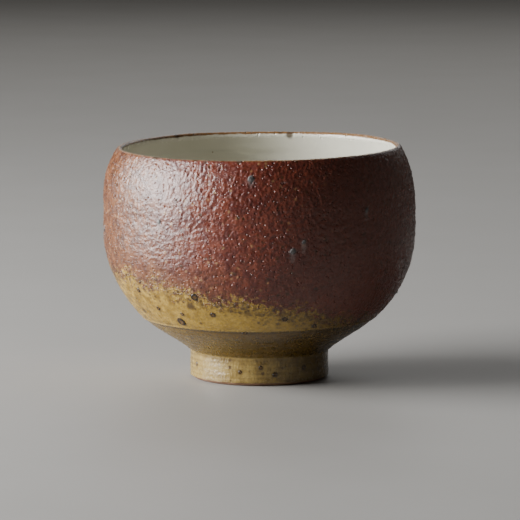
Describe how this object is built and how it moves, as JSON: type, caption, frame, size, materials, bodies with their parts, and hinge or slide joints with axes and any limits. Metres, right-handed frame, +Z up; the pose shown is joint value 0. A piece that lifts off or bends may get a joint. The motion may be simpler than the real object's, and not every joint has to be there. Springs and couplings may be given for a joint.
{
  "type": "matcha bowl",
  "caption": "Round stoneware tea bowl with a wide belly, a mouth that turns in a little, a low straight ring foot, red-brown iron glaze over ochre ash glaze, and pale glaze inside.",
  "frame": {"origin": "centre of the plane that the foot rests on", "axes": "+Z up through the centre of the mouth; -Y is the side of the bowl that faces the viewer"},
  "size_m": [0.114, 0.114, 0.085],
  "materials": {
    "stoneware_clay": "fired, unglazed, matt",
    "clay_slip": "fired, unglazed, matt",
    "cream_glaze": "satin gloss",
    "amber_glaze": "gloss",
    "iron_glaze": "satin gloss, leathery",
    "ash_glaze": "gloss",
    "iron_speck": "gloss",
    "feldspar": "satin"
  },
  "bodies": {
    "root": {"bowl_wall": "stoneware_clay", "foot_ring": "stoneware_clay", "joining_slip": "clay_slip", "liner_glaze": "cream_glaze", "lip_glaze": "amber_glaze", "iron_glaze": "iron_glaze", "ash_glaze": "ash_glaze", "foot_glaze": "ash_glaze", "iron_specks": "iron_speck", "feldspar_grains": "feldspar"}
  },
  "joints": []
}
